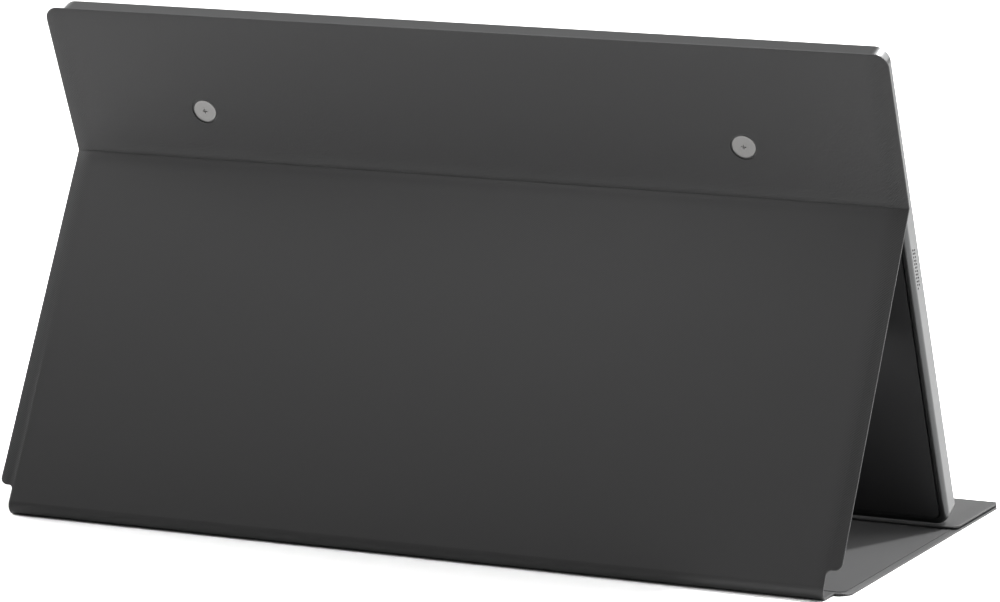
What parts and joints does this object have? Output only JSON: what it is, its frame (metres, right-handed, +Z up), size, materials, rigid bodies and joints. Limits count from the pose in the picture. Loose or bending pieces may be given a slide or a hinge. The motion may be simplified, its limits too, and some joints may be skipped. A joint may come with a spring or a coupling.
{
  "type": "portable monitor",
  "caption": "Slim portable monitor with an aluminium frame, screwed to a folding cover whose strut, base and flap stand it up like an easel.",
  "frame": {"origin": "middle of the footprint, on the table", "axes": "+Z up, the screen faces -Y, +X along the width towards the sockets and buttons"},
  "size_m": [0.36, 0.1744, 0.2008],
  "materials": {
    "frame_metal": "satin anodised",
    "case_black": "fine matt",
    "border_black": "satin",
    "screen_glass": "matt anti-glare",
    "guide_acrylic": "frosted",
    "tray_steel": "rolled",
    "board_green": "solder mask",
    "chip_black": "moulded",
    "screw_steel": "fine turned",
    "cable_amber": "polyimide film",
    "speaker_black": "moulded",
    "socket_steel": "stamped",
    "button_metal": "satin anodised",
    "switch_plastic": "moulded",
    "magnet_metal": "nickel plated",
    "insert_brass": "knurled",
    "collar_black": "moulded",
    "cover_skin": "fine twill weave",
    "cover_board": "pressed fibre board",
    "cover_lining": "soft brushed lining"
  },
  "bodies": {
    "base": {"base_skin": "cover_skin", "base_board": "cover_board", "base_lining": "cover_lining"},
    "spine": {"spine_skin": "cover_skin", "spine_lining": "cover_lining"},
    "strut": {"strut_skin": "cover_skin", "strut_board": "cover_board", "strut_lining": "cover_lining"},
    "monitor": {"frame_shell": "frame_metal", "back_panel": "case_black", "front_bezel": "border_black", "glass_cell": "screen_glass", "light_guide": "guide_acrylic", "screen_tray": "tray_steel", "driver_board": "board_green", "board_chips": "chip_black", "board_screws": "screw_steel", "strip_board": "board_green", "ribbon_cable": "cable_amber", "speaker_left": "speaker_black", "speaker_right": "speaker_black", "data_sockets": "socket_steel", "picture_socket": "socket_steel", "headphone_socket": "speaker_black", "button_board": "board_green", "button_switches": "switch_plastic", "case_magnets": "magnet_metal", "screw_inserts": "insert_brass", "cover_screws": "screw_steel", "screw_collars": "collar_black", "upper_skin": "cover_skin", "upper_board": "cover_board", "upper_lining": "cover_lining"},
    "flap": {"flap_skin": "cover_skin", "flap_board": "cover_board", "flap_lining": "cover_lining", "flap_magnets": "magnet_metal"},
    "power_button": {"power_button": "button_metal"},
    "menu_button_upper": {"menu_button_upper": "button_metal"},
    "menu_button_lower": {"menu_button_lower": "button_metal"}
  },
  "joints": [
    {"name": "rear_fold", "type": "hinge", "parent": "base", "child": "spine", "pos_m": [0, 0.08651, 0.00065], "axis": [-1, 0, 0], "range_deg": [0, 90]},
    {"name": "shoulder_fold", "type": "hinge", "parent": "spine", "child": "strut", "pos_m": [0, 0.08651, 0.01125], "axis": [-1, 0, 0], "range_deg": [0, 28]},
    {"name": "upper_fold", "type": "hinge", "parent": "strut", "child": "monitor", "pos_m": [0, 0.01958, 0.13766], "axis": [1, 0, 0], "range_deg": [0, 50.6]},
    {"name": "front_fold", "type": "hinge", "parent": "base", "child": "flap", "pos_m": [0, -0.08756, 0.0014], "axis": [1, 0, 0], "range_deg": [0, 180]},
    {"name": "power_press", "type": "slide", "parent": "monitor", "child": "power_button", "axis": [-1, 0, 0], "range_m": [0, 0.0003], "stiffness_N_per_m": 800, "springref_m": -0.0003},
    {"name": "menu_upper_press", "type": "slide", "parent": "monitor", "child": "menu_button_upper", "axis": [-1, 0, 0], "range_m": [0, 0.0003], "stiffness_N_per_m": 800, "springref_m": -0.0003},
    {"name": "menu_lower_press", "type": "slide", "parent": "monitor", "child": "menu_button_lower", "axis": [-1, 0, 0], "range_m": [0, 0.0003], "stiffness_N_per_m": 800, "springref_m": -0.0003}
  ],
  "couplings": [
    {"joint": "shoulder_fold", "follows": "rear_fold", "ratio": 0.31},
    {"joint": "upper_fold", "follows": "rear_fold", "ratio": 0.561},
    {"joint": "front_fold", "follows": "rear_fold", "ratio": 2}
  ]
}
